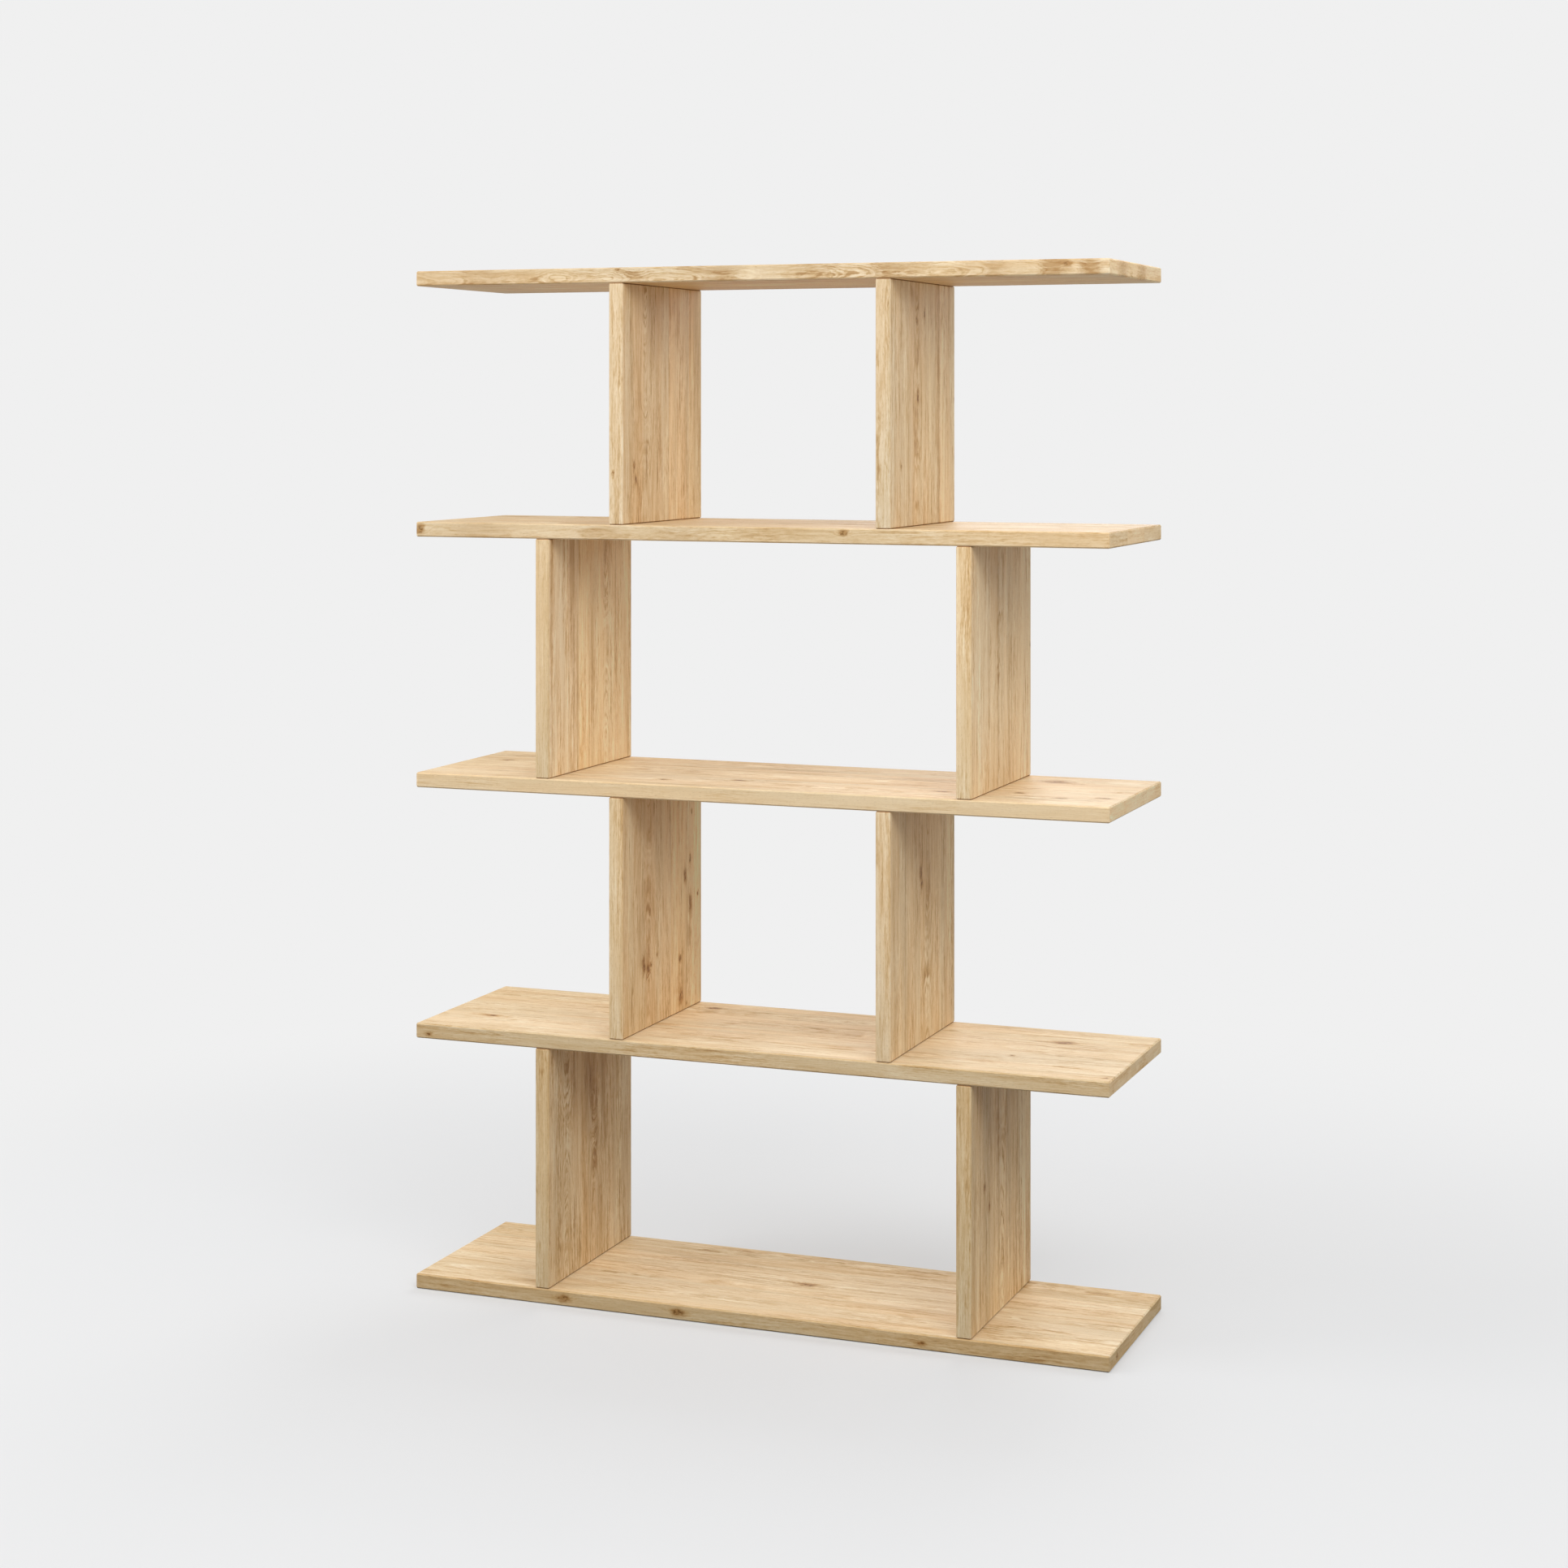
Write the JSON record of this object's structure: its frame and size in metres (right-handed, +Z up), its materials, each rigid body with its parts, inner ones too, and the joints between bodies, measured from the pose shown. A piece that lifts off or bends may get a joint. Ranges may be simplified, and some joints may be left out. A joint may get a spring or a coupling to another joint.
{
  "type": "bookshelf",
  "caption": "Open free-standing bookshelf of solid oak boards, its wide shelves carried by pairs of uprights that step in and out from storey to storey.",
  "frame": {"origin": "on the floor, under the middle of the bottom shelf", "axes": "+X along the shelves, +Y from the front to the back, +Z up"},
  "size_m": [1.2, 0.335, 1.713],
  "materials": {
    "oak": "matt oiled, light natural oak",
    "beech": "plain beech, unfinished"
  },
  "bodies": {
    "root": {"bottom_shelf": "oak", "second_shelf": "oak", "middle_shelf": "oak", "fourth_shelf": "oak", "top_shelf": "oak", "first_left_upright": "oak", "first_right_upright": "oak", "second_left_upright": "oak", "second_right_upright": "oak", "third_left_upright": "oak", "third_right_upright": "oak", "fourth_left_upright": "oak", "fourth_right_upright": "oak", "first_left_lower_tongue": "beech", "first_left_upper_tongue": "beech", "first_right_lower_tongue": "beech", "first_right_upper_tongue": "beech", "second_left_lower_tongue": "beech", "second_left_upper_tongue": "beech", "second_right_lower_tongue": "beech", "second_right_upper_tongue": "beech", "third_left_lower_tongue": "beech", "third_left_upper_tongue": "beech", "third_right_lower_tongue": "beech", "third_right_upper_tongue": "beech", "fourth_left_lower_tongue": "beech", "fourth_left_upper_tongue": "beech", "fourth_right_lower_tongue": "beech", "fourth_right_upper_tongue": "beech"}
  },
  "joints": []
}
